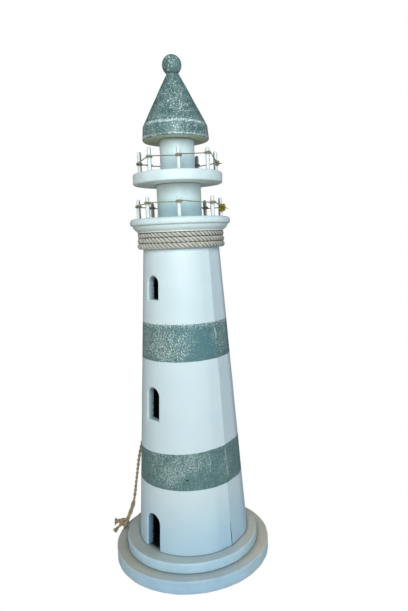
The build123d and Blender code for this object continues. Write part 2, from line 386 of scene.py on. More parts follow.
def makeTowerPaint(name, use, white):
    # Satin acrylic on turned hardwood, brushed round: a soft sheen, with masked sage bands whose dry-brushed second
    # coat is rubbed through to the pale ground coat in flecks, as on limed furniture; where the flecks crowd they are
    # partly painted glints
    material, add, shader, place = newMaterial(name, 0.42)
    axes = add("SeparateXYZ", (place,)).node.outputs
    bearing = add("Math", (axes[1], axes[0]), operation="ARCTAN2")
    # brush marks about 1.5 mm apart both ways, coarser than the real ones so that they show
    strokesRound = softNoise(add, place, (110, 110, 800), 3.0)
    strokesUp = softNoise(add, place, (760, 760, 110), 3.0)
    fine = softNoise(add, place, (1120, 1120, 1300), 1.0)
    patches = softNoise(add, place, 34.0, 2.0)
    wander = softNoise(add, place, 45.0, 4.0)
    rough = softNoise(add, place, 620.0, 2.0)
    # the masked edges wander by 0.7 mm at most, and the tops are rough where the tape lifted
    drift = add("Math", (wander, 0.0014, -0.0007), operation="MULTIPLY_ADD")
    height = add("Math", (axes[2], drift), operation="ADD")
    inBands = nearTops = 0.0
    for low, high, fray, slope in use["bands"]:
        slant = add("VectorMath", (place, [slope * part for part in use["slantWay"]]), operation="DOT_PRODUCT")
        frayed = add("Math", (height, slant), operation="ADD")
        frayed = add("Math", (rough, fray, frayed), operation="MULTIPLY_ADD")
        edge = high + fray / 2
        above = add("MapRange", (height, low - 0.0002, low + 0.0002))
        below = add("MapRange", (frayed, edge - 0.0002, edge + 0.0002, 1.0, 0.0))
        band = multiply(add, above, below)
        rim = add("MapRange", (height, high - 0.0060, high, 0.0, fray * 320))
        inBands = add("Math", (inBands, band), operation="MAXIMUM")
        nearTops = add("Math", (nearTops, multiply(add, rim, band)), operation="MAXIMUM")
    # crossed strokes give the sage a woven look
    weave = add("Math", (strokesRound, strokesUp), operation="ADD")
    weaveMask = add("MapRange", (weave, 0.84, 1.16))
    sage = layered(add, use["deepSage"], (weaveMask, use["sage"]))
    for spot, reach in use["tealSpots"]:
        sage = layered(add, sage, (spotShare(add, place, spot, reach, 0.75, 0.4), use["teal"]))
    # where the flecks gather: chance patches, the rubbed places, where they are partly painted glints, and the frayed
    # tops
    markShare = add("MapRange", (patches, 0.50, 0.72, 0.0, 0.8))
    for share in [nearTops] + [spotShare(add, place, *rub) for rub in use["rubsAndGlints"]]:
        markShare = add("Math", (markShare, share), operation="MAXIMUM")
    marks, over = fleckExcess(add, fine, strokesUp, 0.14, markShare, 0.165, 0.665)
    # the lower band's flecks are softer and lie closer
    crisp = add("MapRange", (over, 0.015, 0.06))
    soft = add("MapRange", (over, -0.03, 0.08, 0.0, 0.60))
    upper = add("MapRange", (axes[2], 0.15, 0.16))
    fleckMask = add("Mix", (upper, soft, crisp))
    flecked = layered(add, sage, (fleckMask, use["fleck"]))
    # lines worn through to the ground coat along the joints
    for degrees, middle, slope, low, high, half, strength, breaks in use["wornLines"]:
        lean = radians(slope)
        course = add("Math", (axes[2], lean, radians(degrees) - lean * middle), operation="MULTIPLY_ADD")
        line = lineShare(add, bearing, course, radians(half), 0.5, strength)
        started = add("MapRange", (axes[2], low, low + 0.001))
        ended = add("MapRange", (axes[2], high, high - 0.001))
        gaps = add("MapRange", (fine, 0.44, 0.56, 1 - breaks, 1.0))
        line = multiply(add, line, started, ended, gaps)
        flecked = layered(add, flecked, (line, use["fleck"]))
    away = add("VectorMath", (place, use["pinHole"]), operation="DISTANCE")
    hole = add("MapRange", (away, 0.0008, 0.0011, 1.0, 0.0))
    flecked = layered(add, flecked, (hole, "#0c1415"))
    # the white coat: faint unevenness, and painted shade, cooler and darker, down by the base and before the seam at
    # +X
    tone = add("MapRange", (wander, 0.3, 0.7))
    thinTintAndShade = tuple(value * share for value, share in zip(hexColour(white), use["thinner"])) + (1,)
    ground = layered(add, white, (tone, thinTintAndShade))
    low = add("MapRange", (axes[2], 0.024, 0.085, 1.0, 0.0), interpolation_type="SMOOTHSTEP")
    beside = add("MapRange", (bearing, radians(-30), radians(-8)), interpolation_type="SMOOTHSTEP")
    passed = add("MapRange", (bearing, radians(-3), 0.0, 1.0, 0.0))
    for mask, tint in ((low, use["towerFootShade"]), (multiply(add, beside, passed, low), use["seamShade"])):
        tinted = add("VectorMath", (ground, tint), operation="MULTIPLY")
        ground = layered(add, ground, (mask, tinted))
    colour = layered(add, ground, (inBands, flecked))
    # painted shade in the corners and creases
    colour = add("VectorMath", (colour, paintedCreaseShade(add, 0.0016, 0.3, 0.9, 0.3)), operation="SCALE")
    grain = multiply(add, fine, inBands)
    relief = add("Math", (weave, 0.35, grain), operation="MULTIPLY_ADD")
    return finishMaterial(material, shader, add, colour, relief, 0.45, 0.00022)


def makeRevealPaint(name, foot, head, outer, deep):
    # The sawn cheeks of the openings: rougher, and greyer and darker the deeper they go, as painted shade inside the
    # opening.
    # foot and head are the tower's (height, radius) in metres
    material, add, shader, place = newMaterial(name, 0.6)
    axes = add("SeparateXYZ", (place,)).node.outputs
    wall = add("MapRange", (axes[2], foot[0], head[0], foot[1], head[1]))
    depth = add("Math", (wall, axisDistance(add, axes)), operation="SUBTRACT")
    saw = softNoise(add, place, 500.0, 3.0)
    depth = add("Math", (saw, 0.003, depth), operation="MULTIPLY_ADD")
    inward = add("MapRange", (depth, 0.0025, 0.0080))
    colour = layered(add, outer, (inward, deep))
    # torn fibres at the inner edge took more paint
    torn = add("MapRange", (depth, 0.0082, 0.0088, 0.0, 0.8))
    colour = layered(add, colour, (torn, outer))
    # painted shade: the door's cheeks darker and bluer than the windows'
    low = add("MapRange", (axes[2], 0.09, 0.10, 1.0, 0.0))
    doorBlueShade = add("VectorMath", (colour, (0.43, 0.64, 0.86)), operation="MULTIPLY")
    colour = layered(add, colour, (low, doorBlueShade))
    return finishMaterial(material, shader, add, colour, saw, 0.5, 0.0004)


shadowSide = (-0.676, -0.737, 0)        # the side of the base away from the daylight


def makeTurnedPaint(name, top, side, under=None, footShadeRamp=None, insideShadeRadius=None, innerShade=None, dustAndShadeTop=None, nook=0.0018):
    # Satin white acrylic on turned wood: faint lathe rings under the paint, tops greyer than the sides, partly with
    # dust and partly painted light, and painted shade along the joints. A (foot, line, height, strength) tuple adds
    # painted shade, grey-blue below that line
    material, add, shader, place = newMaterial(name, 0.42)
    axes = add("SeparateXYZ", (place,)).node.outputs
    normal = add("NewGeometry", output="Normal")
    up = add("SeparateXYZ", (normal,), 2)
    mottle = softNoise(add, place, 90.0, 4.0)
    dust = softNoise(add, place, 900.0, 2.0)
    topMask = add("MapRange", (up, 0.60, 0.96))
    if dustAndShadeTop:
        # painted light: browner tops and paler sides towards the shadow side, and warmer, lighter tops and sides
        # opposite
        toShadow = add("VectorMath", (place, shadowSide), operation="DOT_PRODUCT")
        shaded, away, warmLightShare = (add("MapRange", (toShadow, near, far))
                              for near, far in ((0.010, 0.060), (0.040, 0.090), (-0.030, -0.065)))
        top = layered(add, top, (shaded, dustAndShadeTop), (warmLightShare, "#e8dccb"))
        side = layered(add, side, (away, "#daebf4"), (warmLightShare, "#d6e8ec"))
    # tops and sides take their own colours of the one paint: partly dust, partly painted light
    colour = layered(add, side, (topMask, top))
    if under:
        colour = layered(add, colour, (add("MapRange", (up, -0.5, -0.9)), under))
    if footShadeRamp:
        # painted shade: darker and grey-blue below the line, most at the foot
        foot, line, height, strength = footShadeRamp
        ramp = add("ValToRGB", (add("MapRange", (axes[2], foot, height)),))
        stops = ramp.node.color_ramp.elements
        stops[0].color, stops[1].position, stops[1].color = hexColour("#a3b8c3"), line, hexColour("#e2ecef")
        for at, code in ((line * 0.5, "#b9cbd3"), (line + 0.07, "#fbfdfc"), (1.0, "#fffffb")):
            stops.new(at).color = hexColour(code)
        footShadeFactor = layered(add, "#ffffff", (strength, ramp))
        colour = add("VectorMath", (colour, footShadeFactor), operation="MULTIPLY")
    if insideShadeRadius:
        # painted shade: the floor inside the tower goes near black
        ragged = add("Math", (dust, 0.003, axisDistance(add, axes)), operation="MULTIPLY_ADD")
        markShare = add("MapRange", (ragged, insideShadeRadius, insideShadeRadius + 0.0065, 1.0, 0.0))
        colour = layered(add, colour, (markShare, "#0b0a09"))
    shade = add("MapRange", (mottle, 0.3, 0.7, 0.94, 1.03))
    speck = add("MapRange", (dust, 0.35, 0.65, 0.97, 1.02))
    # painted shade in the corners, darker within nook of another surface
    unshadedShare = paintedCreaseShade(add, nook, 0.3, 0.9, 0.35)
    if dustAndShadeTop:
        # painted shade: it stays on the tops, mostly leaves the sides, and a thin dark line of it stays in the joints
        kept = add("MapRange", (topMask, 0.0, 1.0, 0.75, 0.0))
        unshadedShare = add("Mix", (kept, unshadedShare, 1.0))
        unshadedShare = multiply(add, unshadedShare, paintedCreaseShade(add, 0.0013, 0.45, 0.85, 0.55))
    toned = add("VectorMath", (colour, multiply(add, shade, speck, unshadedShare)), operation="SCALE")
    if innerShade:
        # painted shade: darker on the sides that face the tower's axis, and grey on the sides that face along (0.69,
        # 0.72) either way
        across = add("VectorMath", (normal, place), operation="DOT_PRODUCT")
        facing = add("Math", (across, multiply(add, up, axes[2])), operation="SUBTRACT")
        facing = add("Math", (mottle, 0.03, facing), operation="MULTIPLY_ADD")
        thinTintAndShade = add("MapRange", (facing, 0.016, -0.006, 0.0, 0.85))
        sideways = add("VectorMath", (normal, (0.69, 0.72, 0)), operation="DOT_PRODUCT")
        sideways = add("Math", (sideways,), operation="ABSOLUTE")
        sideways = add("MapRange", (sideways, 0.62, 0.94, 0.0, 0.65))
        toned = layered(add, toned, (sideways, "#8d979a"), (thinTintAndShade, innerShade))
    # lathe rings about 1 mm apart
    return finishMaterial(material, shader, add, toned, softNoise(add, place, (90, 90, 1000), 3.0), 0.25, 0.00018)


roofColours = {
    "sage": "#728e8b",
    "deepSage": "#557271",
    "fleck": "#ecf4f1",
    "worn": "#eaf2ef",
    "arris": "#3f5958",
    "under": "#d6d6b9",
    "rubsAndGlints": [((0.0160, -0.0150, 0.4480), 0.014, 0.82), ((0.0210, -0.0100, 0.4440), 0.013, 0.78),
             ((0.0060, -0.0220, 0.4440), 0.009, 0.75), ((0.0110, -0.0050, 0.4620), 0.010, 0.60),
             ((0.0180, -0.0250, 0.4215), 0.016, 0.20), ((0.0020, -0.0090, 0.4950), 0.005, 0.90)],
}


def makeRoofPaint(name, use, shoulderZ, rimZ, footZ):
    # Sage acrylic on turned wood, rubbed back: silvery scratches and flecks, partly painted glints, and arrises worn
    # to the ground coat
    material, add, shader, place = newMaterial(name, 0.36)
    axes = add("SeparateXYZ", (place,)).node.outputs
    up = add("SeparateXYZ", (add("NewGeometry", output="Normal"),), 2)
    fine = softNoise(add, place, 960.0, 1.0)
    scratches = softNoise(add, place, (700, 700, 170), 2.0, (0.5, 0.2, 0.4))
    patches = softNoise(add, place, 55.0, 2.0)
    wander = softNoise(add, place, 150.0, 3.0)
    tone = add("MapRange", (wander, 0.35, 0.65))
    markShare = add("MapRange", (patches, 0.32, 0.66, 0.30, 0.62))
    # the rubbed places, where the flecks are partly painted glints
    for rub in use["rubsAndGlints"]:
        markShare = add("Math", (markShare, spotShare(add, place, *rub)), operation="MAXIMUM")
    marks, over = fleckExcess(add, fine, scratches, 0.36, markShare, 0.19, 0.715)
    flecks = add("MapRange", (over, 0.012, 0.042))
    # a broad worn line along the shoulder and a fainter one by the rim, both chipped and wandering by 3 mm at
    # most, and a dark arris under it
    drift = add("Math", (wander, 0.0060, -0.0030), operation="MULTIPLY_ADD")
    height = add("Math", (axes[2], drift), operation="ADD")
    chips = add("MapRange", (fine, 0.44, 0.52, 0.25, 1.0))
    gaps = add("MapRange", (patches, 0.36, 0.50, 0.35, 1.0))
    shoulder = multiply(add, lineShare(add, height, shoulderZ, 0.0018, 0.4, 0.95), chips, gaps)
    rim = multiply(add, lineShare(add, height, rimZ - 0.0009, 0.0011, 0.4, 0.80), chips, gaps)
    arris = lineShare(add, axes[2], footZ, 0.0013, 0.4, 0.8)
    # the underside never got the sage coat
    belowRim = add("MapRange", (axes[2], rimZ, rimZ + 0.001, 1.0, 0.0))
    under = multiply(add, add("MapRange", (up, -0.55, -0.85)), belowRim)
    coats = ((tone, "sage"), (flecks, "fleck"), (shoulder, "worn"), (rim, "fleck"), (arris, "arris"), (under, "under"))
    colour = layered(add, use["deepSage"], *((share, use[shade]) for share, shade in coats))
    # painted shade in the corners and creases
    colour = add("VectorMath", (colour, paintedCreaseShade(add, 0.003, 0.2, 0.9, 0.5)), operation="SCALE")
    return finishMaterial(material, shader, add, colour, marks, 0.6, 0.0003)


def makeShadedInsideWood(name):
    # Painted shade: near-black grain inside the shells, so the hollow reads as black from outside
    material, add, shader, place = newMaterial(name, 0.9)
    grain = softNoise(add, place, (400, 400, 30), 4.0)
    colour = layered(add, "#040404", (grain, "#0d0b0a"))
    material.node_tree.links.new(colour, shader.inputs["Base Color"])
    return material


def makeCordFibre(name, pale, dark, hollow, fibreSize, creaseReach, edge=0.86, shaded=None, rightShade=None):
    # Spun plant fibre: matt and dry, with hairs of about fibreSize mm, and painted shade in the creases between the
    # strands
    material, add, shader, place = newMaterial(name, 0.92)
    shader.inputs["Specular IOR Level"].default_value = 0.15
    hairs = softNoise(add, place, 1000 / fibreSize, 3.0)
    slubs = softNoise(add, place, 160.0, 2.0)
    mixed = add("Math", (slubs, 0.6, hairs), operation="MULTIPLY_ADD")
    colour = layered(add, dark, (add("MapRange", (mixed, 0.62, 0.98)), pale))
    clear = paintedCreaseShade(add, creaseReach, edge - 0.5, edge, 0.0, 12)
    colour = layered(add, hollow, (clear, colour))
    # painted shade: darker round the back, and darker towards +X and +Y
    for way, low, high, darkest in (((1, -1, 0), 0.012, -0.020, shaded), ((0.707, 0.707, 0), 0.022, 0.043, rightShade)):
        if darkest:
            along = add("VectorMath", (place, way), operation="DOT_PRODUCT")
            tone = add("MapRange", (along, low, high, 1.0, darkest))
            colour = add("VectorMath", (colour, tone), operation="SCALE")
    return finishMaterial(material, shader, add, colour, hairs, 0.5, 0.0002)


frontPaint = makeTowerPaint("satinAcrylicFront", paintSettings, paintSettings["white"])
# the back half takes the greyer copy of the paint: painted shade
backShadedPaint = makeTowerPaint("satinAcrylicBackShaded", paintSettings, paintSettings["backShadedWhite"])
revealPaint = makeRevealPaint("shadedRevealCoat", (0.0221, 0.0553), (0.3274, 0.0368), "#cfdfe4", "#7d9199")
shadedInsideWood = makeShadedInsideWood("shadedInsideWood")
plinthPaint = makeTurnedPaint("dustAndShadePlinthAcrylic", "#bfc8cb", "#c4dff4", dustAndShadeTop="#c9c5b8", nook=0.0085)
stepPaint = makeTurnedPaint("dustAndShadeStepAcrylic", "#bec8cb", "#d3eeff", insideShadeRadius=0.0515, dustAndShadeTop="#c3c4bd", nook=0.004)
galleryPaint = makeTurnedPaint("satinGalleryAcrylic", "#eaf4f4", "#f0fafb", "#fdfbee")
pegPaint = makeTurnedPaint("brushedShadedPegAcrylic", "#f8fbfb", "#f8fbfb", innerShade="#5d5044")
ropeFibre = makeCordFibre("laidCottonRope", "#e4dcd2", "#c6bfb1", "#332b22", 0.9, 0.0016, edge=0.95, rightShade=0.70)
twineFibre = makeCordFibre("juteTwine", "#cfb9a0", "#a38d74", "#4b3828", 0.7, 0.0007)
railFibre = makeCordFibre("greyJuteTwine", "#bdb79f", "#877d63", "#463a26", 0.7, 0.0007, shaded=0.5)
gluedFibre = makeCordFibre("gluedJuteTwine", "#b3a33f", "#82701e", "#372d08", 0.9, 0.0008)
print("materials ready")


hangingSettings = {
    # metres, down from the neck rope to its knot at the edge of the base
    "route": [
        (-0.0361, 0.0181, 0.3096), (-0.0407, 0.0162, 0.2619), (-0.0463, 0.0096, 0.2118), (-0.0507, -0.0002, 0.1638),
        (-0.0522, -0.0136, 0.1242), (-0.0517, -0.0254, 0.0994), (-0.0539, -0.0298, 0.0713), (-0.0571, -0.0325, 0.0434),
        (-0.0617, -0.0352, 0.0290), (-0.0655, -0.0375, 0.0198),
    ],
    "length": 0.2992,
    "diameter": 0.0025,
    # mm from here on
    "plyRadius": (0.84, 1.15),      # above, and by the knot
    "plyOffset": 0.72,
    "lay": 9.5,
    "thicker": (0.85, 0.1),         # share of the length where the strands start to thicken, and over how much
    "loose": (0.90, 0.03),          # the same for where their lay opens
    "beside": (0.69, 0.72, 0),      # the loose strands hang side by side along this
    "apart": 1.0,
    "knot": (-67.9, -39.2, 18.4),
    "knotSize": 7.6,
    "knotFacing": (0.4, -0.7, 0.5),
    "knotStrand": 1.35,
    # the strands that run across the knot, and their ply radius, offset and lay
    "cross": [(-65.5, -37.5, 19.8), (-64.3, -39.6, 18.4), (-64.5, -41.4, 16.6), (-66.3, -41.8, 14.9)],
    "crossPlies": (1.15, 0.85, 14.0),
    # reach of each end, its ply radius and offset, and its splay
    "ends": [((-7.9, -6.7, 0.4), 1.45, 1.10, 3.7), ((-6.3, -8.9, -8.8), 1.05, 0.80, 2.5)],
    "endLay": 12.0,
    "fibres": 120,
}


def routeLine(points):
    # The smooth line of a NURBS spline whose control points are the route
    curve = bpy.data.curves.new("route", "CURVE")
    curve.dimensions = "3D"
    curve.resolution_u = 24
    spline = curve.splines.new("NURBS")
    spline.points.add(len(points) - 1)
    for slot, point in zip(spline.points, points):
        slot.co = (*point, 1)
    spline.order_u = 3
    spline.use_endpoint_u = True
    holder = addObject("route", curve)
    mesh = bpy.data.meshes.new_from_object(holder)
    line = [tuple(vertex.co) for vertex in mesh.vertices]
    bpy.data.objects.remove(holder)
    bpy.data.meshes.remove(mesh)
    bpy.data.curves.remove(curve)
    return line


fibreRadii = np.linspace(0.26, 0.14, 6)     # mm, from root to tip


def frayedEnd(tip, direction, length, count, reach, rng):
    # Loose fibres that splay out of a cut end
    direction = np.asarray(direction, float) / np.linalg.norm(direction)
    parts = []
    for _ in range(count):
        push = rng.normal(0, 1, 3)
        push -= direction * np.dot(push, direction)
        push *= reach / max(1e-6, np.linalg.norm(push)) * rng.uniform(0.3, 1.0)
        start = tip + push * 0.3
        sag = np.array((0, 0, -rng.uniform(0.0, 0.5)))
        line = [start + direction * length * part + push * part ** 1.5 + sag * part ** 2
                for part in np.linspace(0, rng.uniform(0.7, 1.0), len(fibreRadii))]
        parts.append(tubeParts(line, fibreRadii, 5))
    return parts


def knotPath(centre, size, facing):
    # A snug overhand knot: a trefoil line fitted in a ball of that size
    toward = Vector(facing).normalized().to_track_quat("Z", "Y")
    line = []
    for part in range(60):
        t = tau * part / 60
        spot = Vector((sin(t) + 2 * sin(2 * t), cos(t) - 2 * cos(2 * t), -sin(3 * t) * 2.0)) / 3.2 * size / 2
        line.append(tuple(Vector(centre) + toward @ spot))
    return line


def makeHangingTwine(use):
    path = evenPath(np.array(routeLine(use["route"])) / mm, 0.7)
    share = np.linspace(0, 1, len(path))
    # hand-spun strands are never laid quite evenly
    plies = plyPaths(path, use["plyOffset"], use["lay"], 1.0 + 0.22 * np.sin(share * 31) * np.sin(share * 13 + 1))
    thickening, loose = (np.clip((share - use[key][0]) / use[key][1], 0, 1) for key in ("thicker", "loose"))
    for at, way in ((0, 1), (1, -1)):
        gap = way * use["apart"] * np.array(use["beside"]) * (1 + 0.2 * np.sin(share * 190 + at))[:, None]
        plies[at] = plies[at] + (path + gap - plies[at]) * loose[:, None]
    thinTintAndShade, thick = use["plyRadius"]
    parts = [tubeParts(ply, thinTintAndShade + (thick - thinTintAndShade) * thickening) for ply in plies]
    twine = makePiece("hangingTwine", parts, [twineFibre], ["hanging_twine"])
    rng = np.random.default_rng(21)
    middle = np.array(use["knot"])
    knot = knotPath(use["knot"], use["knotSize"], use["knotFacing"])
    parts = [tubeParts(evenPath(knot, 0.4, True), use["knotStrand"], closed=True)]
    radius, offset, lay = use["crossPlies"]
    parts += [tubeParts(ply, radius) for ply in plyPaths(evenPath(smoothPath(use["cross"]), 0.5), offset, lay)]
    for end, radius, offset, splay in use["ends"]:
        end = np.array(end)
        line = [middle + end * part + np.array((0, 0, 0.5 * sin(part * 3))) for part in np.linspace(0.1, 0.78, 8)]
        for ply in plyPaths(evenPath(line, 0.5), offset, use["endLay"]):
            parts.append(tubeParts(ply, np.linspace(radius, radius * 0.85, len(ply))))
        parts += frayedEnd(middle + end * 0.55, end, np.linalg.norm(end) * 0.5, use["fibres"], splay, rng)
    knotPiece = makePiece("hangingTwineKnot", parts, [twineFibre], ["hanging_twine_knot"])


makeHangingTwine(hangingSettings)
print("hanging twine made")


plinthSettings = {"topRound": 1.4, "footRound": 0.7, "waver": 0.35, "slip": 1.5}
stepSettings = {"topRound": 1.9, "footRound": 0.4, "waver": 0.3, "slip": 1.5}


def slipped(amount):
    # how far off the axis a piece sits, on the side that the glue let it slip to
    return (shadowSide[0] * amount, shadowSide[1] * amount)


def makeDisc(node, name, use, material):
    low, high = boxOf(node)
    corners = [(0, low.z, 0), (high.x, low.z, use["footRound"]), (high.x, high.z, use["topRound"]), (0, high.z, 0)]
    lathe = latheParts(softProfile(corners), 224, use["waver"], 9.0, seed=high.z, centre=slipped(use["slip"]))
    makePiece(name, [lathe], [material], [node])


makeDisc("base_plinth", "basePlinth", plinthSettings, plinthPaint)
makeDisc("base_step", "baseStep", stepSettings, stepPaint)
print("base made")


towerSettings = {
    "topRadius": 36.8,
    "wall": 8.0,
    "sideColumns": 40,
    "rowStep": 3.0,
    "patch": 17.0,          # degrees each side of the openings' middle
    "patchColumns": 28,
    "patchRows": 44,
    "arris": 1.3,           # rounding of the openings' outer edges
    "rings": (6, 2),        # round each opening, outside and inside
    "openings": [           # width, height, sill; the first is the door, open at its foot
        (17.8, 34.0, 22.1), (16.2, 31.7, 147.6), (14.5, 23.0, 263.4),
    ],
    "margin": 5.0,          # of the patch below and above a window
    "cheekDepth": [7.6, 7.8, 8.0],      # how far in the cheeks' colour goes, before the black painted shade inside
    "rag": 1.0,             # roughness of the sawn inner edges
    "frontFlat": 16.0,      # degrees of flat next to the seams
    "backFlat": 24.0,
    "crackTop": 48.0,       # the seam is open below this height, at +X
    "crack": 0.4,           # how far each half draws back there
    "drift": 1.6,           # degrees that the joint wanders towards the front near the foot
    "driftTop": 150.0,      # it starts below this height, and has done all of it 80 lower
    "swell": (26.0, 0.12),  # size and depth of the unevenness left by hand sanding
}
towerLow, towerHigh = boxOf("tower_back_half")


def eased(share):
    return share * share * (3 - 2 * share)


def towerRadius(z):
    share = (z - towerLow.z) / (towerHigh.z - towerLow.z)
    return towerHigh.x + (towerSettings["topRadius"] - towerHigh.x) * share


def flatShare(degreesFromSeam, width):
    # Radius left by a sanded flat that starts at the seam, with its far edge eased
    total = 0.0
    for ease in (-1.5, -0.5, 0.5, 1.5):
        a = max(0.0, degreesFromSeam + ease * min(1.0, degreesFromSeam / 2))
        total += cos(radians(width / 2)) / cos(radians(a - width / 2)) if a < width else 1.0
    return total / 4


def towerPoint(u, z, inner=False):
    # u is in degrees round from the door's side, towards +X
    if inner:
        radius = towerRadius(z) - towerSettings["wall"]
    else:
        fromSeam = min(abs(u - 90), abs(u + 90), abs(u - 270))
        radius = towerRadius(z) * flatShare(fromSeam, towerSettings["frontFlat" if abs(u) <= 90 else "backFlat"])
    if u > 30:
        lowShare = eased(min(1.0, max(0.0, (towerSettings["driftTop"] - z) / 80)))
        u -= towerSettings["drift"] * lowShare * ((u - 30) / 60 if u <= 90 else (270 - u) / 180)
    x, y = radius * sin(radians(u)), -radius * cos(radians(u))
    if not inner:
        swell = uneven((x, y, z), *towerSettings["swell"], 3)
        x, y = x + swell * sin(radians(u)), y - swell * cos(radians(u))
    return [x, y, z]


def wallPoint(x, z):
    return towerPoint(np.degrees(asin(x / towerRadius(z))), z)


def crackGap(u, z):
    # how far each half draws back from the seam at +X, where the joint is open
    share = min(1.0, max(0.0, towerSettings["crackTop"] - z) / 10) if abs(u - 90) < 1e-6 else 0.0
    return towerSettings["crack"] * share


def archLine(opening, out, isDoor):
    # Points (x, z) round an arch that is moved outwards by out, from its left foot over the top
    up, across = towerSettings["patchRows"], towerSettings["patchColumns"]
    width, height, sill = opening
    radius, springing = width / 2 + out, sill + height - width / 2
    foot = sill if isDoor else sill - out
    jamb = springing - foot

    def onArch(angle):
        return (radius * cos(angle), springing + radius * sin(angle))

    points = []
    for part in range(up + 1):
        distance = (jamb + radius * pi / 4) * part / up
        points.append((-radius, foot + distance) if distance <= jamb else onArch(pi - (distance - jamb) / radius))
    points += [onArch(pi * 3 / 4 - pi / 2 * part / across) for part in range(1, across)]
    points += [(-x, z) for x, z in points[up::-1]]
    if not isDoor:
        points += [(radius * (1 - 2 * part / across), foot) for part in range(1, across)]
    return points


def bridge(loops, closed):
    # Faces between each loop of points and the next
    faces = []
    for one, other in zip(loops, loops[1:]):
        for at in range(len(one) if closed else len(one) - 1):
            after = (at + 1) % len(one)
            faces.append((one[at], other[at], other[after], one[after]))
    return faces


def spreadMaterials(piece, *limits):
    # each limit is the number of the first face that takes the next material
    for at, polygon in enumerate(piece.data.polygons):
        polygon.material_index = sum(at >= limit for limit in limits)


def towerRows(use):
    # heights of the rows of points, and the first and last row of each opening's patch
    def evenRows(start, end):
        return list(np.linspace(start, end, max(2, int((end - start) / use["rowStep"])) + 1))[1:]

    rows, patches = [use["openings"][0][2]], []
    for width, height, sill in use["openings"]:
        if patches:
            rows += evenRows(rows[-1], sill - use["margin"])
        patches.append((len(rows) - 1, len(rows) - 1 + use["patchRows"]))
        rows += list(np.linspace(rows[-1], sill + height + use["margin"], use["patchRows"] + 1))[1:]
    return rows + evenRows(rows[-1], towerHigh.z), patches


def makeTowerFront(use):
    side = list(np.linspace(-90, -use["patch"], use["sideColumns"]))
    middle = list(np.linspace(-use["patch"], use["patch"], use["patchColumns"] + 1))
    columns = side[:-1] + middle + [-value for value in side[::-1]][1:]
    first, last = len(side) - 1, len(side) - 1 + use["patchColumns"]
    rows, patches = towerRows(use)
    points, faces, cheekFaces, insideFaces = [], [], [], []

    def addPoint(point):
        points.append(tuple(point))
        return len(points) - 1

    layers = []
    for inner in (False, True):
        grid = {}
        for i, z in enumerate(rows):
            for j, u in enumerate(columns):
                if first < j < last and any(low < i < high or low == i == 0 for low, high in patches):
                    continue
                x, y, z = towerPoint(u, z, inner)
                grid[i, j] = addPoint((x, y - crackGap(u, z), z))
        for i in range(len(rows) - 1):
            for j in range(len(columns) - 1):
                if first <= j < last and any(low <= i < high for low, high in patches):
                    continue
                face = (grid[i, j], grid[i, j + 1], grid[i + 1, j + 1], grid[i + 1, j])
                (insideFaces if inner else faces).append(face[::-1] if inner else face)
        layers.append(grid)

    for number, (opening, (low, high)) in enumerate(zip(use["openings"], patches)):
        isDoor = number == 0
        border = [(i, first) for i in range(low, high + 1)] + [(high, j) for j in range(first + 1, last)]
        border += [(i, last) for i in range(high, low - 1, -1)]
        if not isDoor:
            border += [(low, j) for j in range(last - 1, first, -1)]
        loops = []
        for inner, ringCount, out in zip((False, True), use["rings"], (use["arris"], 0.0)):
            line = archLine(opening, out, isDoor)
            rings = [[layers[inner][key] for key in border]]
            for ring in range(ringCount - 1, -1, -1):
                share = (ring / ringCount) ** 1.4
                row = []
                for (x, z), (i, j) in zip(line, border):
                    u = np.degrees(asin(x / (towerRadius(z) - (use["wall"] if inner else 0))))
                    spot = towerPoint(u + (columns[j] - u) * share, z + (rows[i] - z) * share, inner)
                    row.append(addPoint(spot))
                rings.append(row)
            loops.append(rings)
        # rounded outer edge, then the reveal, with its inner edge left rough from the saw
        outerRings, innerRings = loops
        reveal = [outerRings[-1]]
        for angle in (pi / 8, pi / 4, pi * 3 / 8, pi / 2):
            row = []
            for x, z in archLine(opening, use["arris"] * (1 - sin(angle)), isDoor):
                x, y, z = wallPoint(x, z)
                row.append(addPoint((x, y + use["arris"] * (1 - cos(angle)), z)))
            reveal.append(row)
        for share in (0.25, 0.5, 0.75, 1.0):
            row = []
            for x, z in archLine(opening, 0, isDoor):
                outside = wallPoint(x, z)[1] + use["arris"]
                inside = -sqrt((towerRadius(z) - use["cheekDepth"][number]) ** 2 - x * x)
                rag = 0.4 + use["rag"] * (abs(uneven((x, 0, z), 1.4, 2.0, number)) + 0.1) if share == 1 else 0
                row.append(addPoint((x, outside + (inside - outside) * share - rag, z)))
            reveal.append(row)
        faces += bridge(outerRings, not isDoor) + bridge(reveal[:5], not isDoor)
        cheekFaces += bridge(reveal[4:], not isDoor)
        insideFaces += bridge([reveal[-1]] + innerRings[::-1], not isDoor)
        if isDoor:
            for at in (0, len(border) - 1):
                edge = [ring[at] for ring in outerRings + reveal[1:] + innerRings[::-1]]
                insideFaces.append(tuple(edge if at else edge[::-1]))

    # seam faces, foot and head
    outer, inner = layers
    top, end = len(rows) - 1, len(columns) - 1
    for i in range(top):
        insideFaces.append((outer[i, 0], outer[i + 1, 0], inner[i + 1, 0], inner[i, 0]))
        insideFaces.append((outer[i, end], inner[i, end], inner[i + 1, end], outer[i + 1, end]))
    for j in range(end):
        if not first <= j < last:
            insideFaces.append((outer[0, j], inner[0, j], inner[0, j + 1], outer[0, j + 1]))
        insideFaces.append((outer[top, j], outer[top, j + 1], inner[top, j + 1], inner[top, j]))
    piece = makePiece("towerFront", [(points, faces + cheekFaces + insideFaces)], [frontPaint, revealPaint, shadedInsideWood],
                      ["tower_front_half"])
    spreadMaterials(piece, len(faces), len(faces) + len(cheekFaces))


